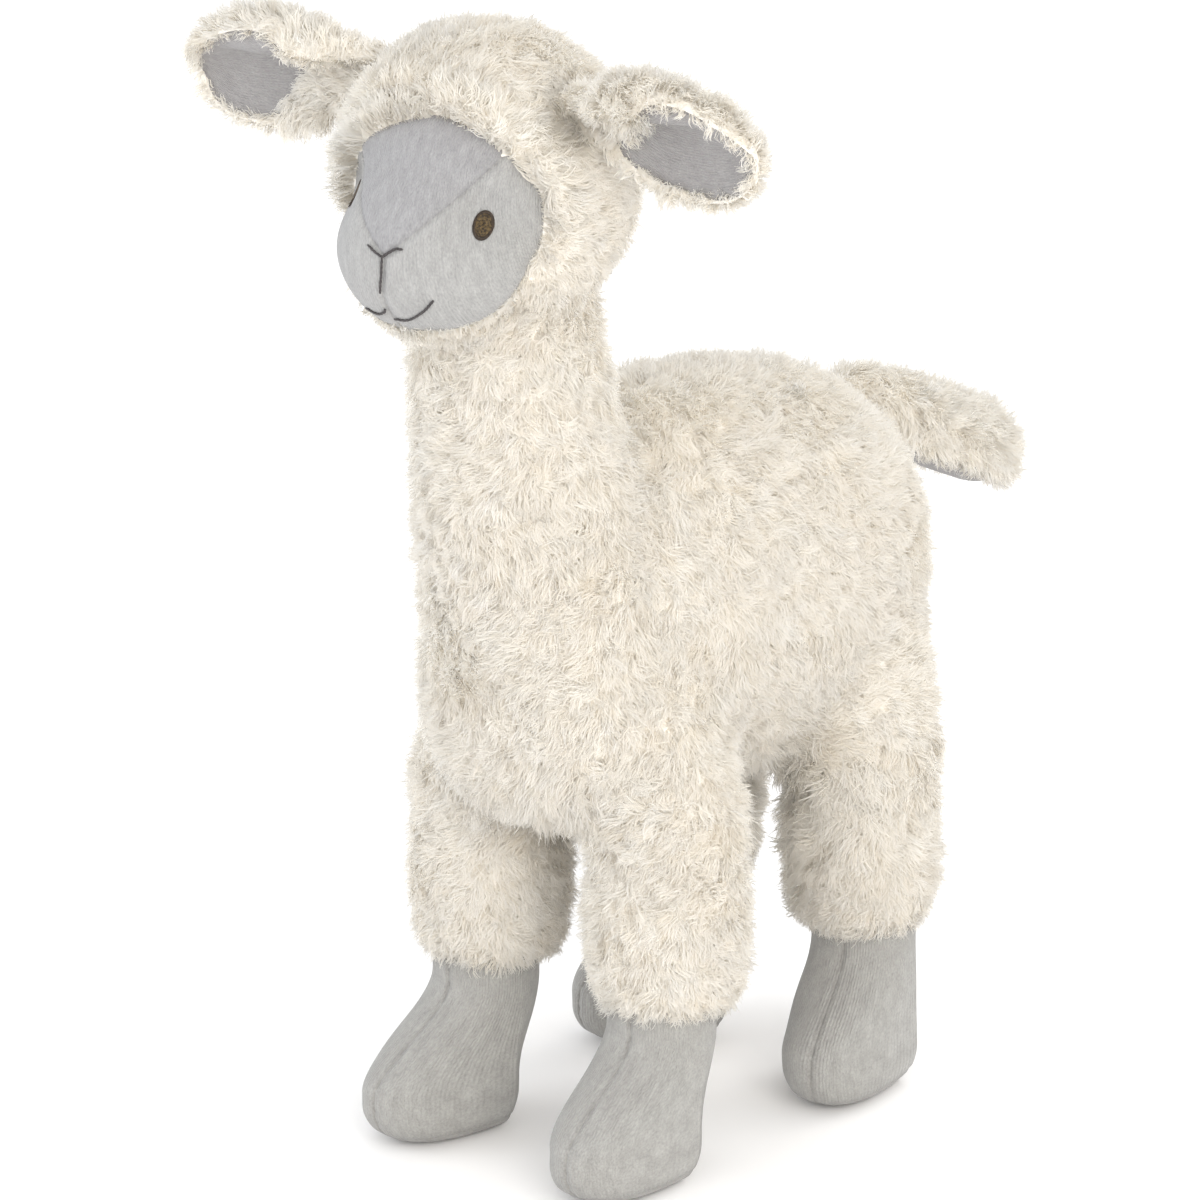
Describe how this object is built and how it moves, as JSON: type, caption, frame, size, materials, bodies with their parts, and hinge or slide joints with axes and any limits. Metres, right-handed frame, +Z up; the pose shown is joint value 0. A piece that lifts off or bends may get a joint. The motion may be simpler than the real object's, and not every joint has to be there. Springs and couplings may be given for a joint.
{
  "type": "plush llama",
  "caption": "Standing plush llama in cream long-pile fur with grey velour face, boots and linings, stitched features, and limbs, neck, head, ears and tail that flex at their seams.",
  "frame": {"origin": "on the floor under the middle of the toy's box", "axes": "+Z up, -Y the way the toy faces, +X the toy's left"},
  "size_m": [0.2173, 0.3081, 0.3687],
  "materials": {
    "fur": "matte",
    "velour": "matte",
    "filling": "matte",
    "eye_thread": "satin",
    "line_thread": "satin"
  },
  "bodies": {
    "body": {"body_left_panel": "fur", "body_right_panel": "fur", "belly_panel": "fur", "body_filling": "filling"},
    "front_left_leg": {"front_left_leg_cover": "fur", "front_left_boot_outer_panel": "velour", "front_left_boot_inner_panel": "velour", "front_left_boot_sole": "velour", "front_left_leg_filling": "filling"},
    "back_left_leg": {"back_left_leg_cover": "fur", "back_left_boot_outer_panel": "velour", "back_left_boot_inner_panel": "velour", "back_left_boot_sole": "velour", "back_left_leg_filling": "filling"},
    "front_right_leg": {"front_right_leg_cover": "fur", "front_right_boot_outer_panel": "velour", "front_right_boot_inner_panel": "velour", "front_right_boot_sole": "velour", "front_right_leg_filling": "filling"},
    "back_right_leg": {"back_right_leg_cover": "fur", "back_right_boot_outer_panel": "velour", "back_right_boot_inner_panel": "velour", "back_right_boot_sole": "velour", "back_right_leg_filling": "filling"},
    "neck": {"neck_cover": "fur", "neck_filling": "filling"},
    "head": {"head_cover": "fur", "face_forehead_panel": "velour", "face_left_cheek": "velour", "face_right_cheek": "velour", "head_filling": "filling", "left_eye": "eye_thread", "right_eye": "eye_thread", "nose_stitching": "line_thread", "mouth_left_stitching": "line_thread", "mouth_right_stitching": "line_thread"},
    "left_ear": {"left_ear_back": "fur", "left_ear_lining": "velour"},
    "right_ear": {"right_ear_back": "fur", "right_ear_lining": "velour"},
    "tail": {"tail_top": "fur", "tail_lining": "velour"}
  },
  "joints": [
    {"name": "front_left_hip", "type": "hinge", "parent": "body", "child": "front_left_leg", "pos_m": [0.036, -0.0618, 0.1024], "axis": [1, 0, 0], "range_deg": [-12, 12], "stiffness_Nm_per_rad": 1.5},
    {"name": "back_left_hip", "type": "hinge", "parent": "body", "child": "back_left_leg", "pos_m": [0.036, 0.0352, 0.1025], "axis": [1, 0, 0], "range_deg": [-12, 12], "stiffness_Nm_per_rad": 1.5},
    {"name": "front_right_hip", "type": "hinge", "parent": "body", "child": "front_right_leg", "pos_m": [-0.036, -0.0618, 0.1024], "axis": [1, 0, 0], "range_deg": [-12, 12], "stiffness_Nm_per_rad": 1.5},
    {"name": "back_right_hip", "type": "hinge", "parent": "body", "child": "back_right_leg", "pos_m": [-0.036, 0.0352, 0.1025], "axis": [1, 0, 0], "range_deg": [-12, 12], "stiffness_Nm_per_rad": 1.5},
    {"name": "neck_lean", "type": "hinge", "parent": "body", "child": "neck", "pos_m": [0, -0.09003, 0.23408], "axis": [1, 0, 0], "range_deg": [-8, 8], "stiffness_Nm_per_rad": 2},
    {"name": "head_turn", "type": "hinge", "parent": "neck", "child": "head", "pos_m": [0, -0.1038, 0.321], "axis": [0, -0.1564, 0.9877], "range_deg": [-20, 20], "stiffness_Nm_per_rad": 0.6},
    {"name": "left_ear_flop", "type": "hinge", "parent": "head", "child": "left_ear", "pos_m": [0.03819, -0.10714, 0.34989], "axis": [0, -1, 0], "range_deg": [-20, 25], "stiffness_Nm_per_rad": 0.02},
    {"name": "right_ear_flop", "type": "hinge", "parent": "head", "child": "right_ear", "pos_m": [-0.03819, -0.10714, 0.34989], "axis": [0, 1, 0], "range_deg": [-20, 25], "stiffness_Nm_per_rad": 0.02},
    {"name": "tail_lift", "type": "hinge", "parent": "body", "child": "tail", "pos_m": [0, 0.0702, 0.21], "axis": [1, 0, 0], "range_deg": [-15, 30], "stiffness_Nm_per_rad": 0.05}
  ]
}
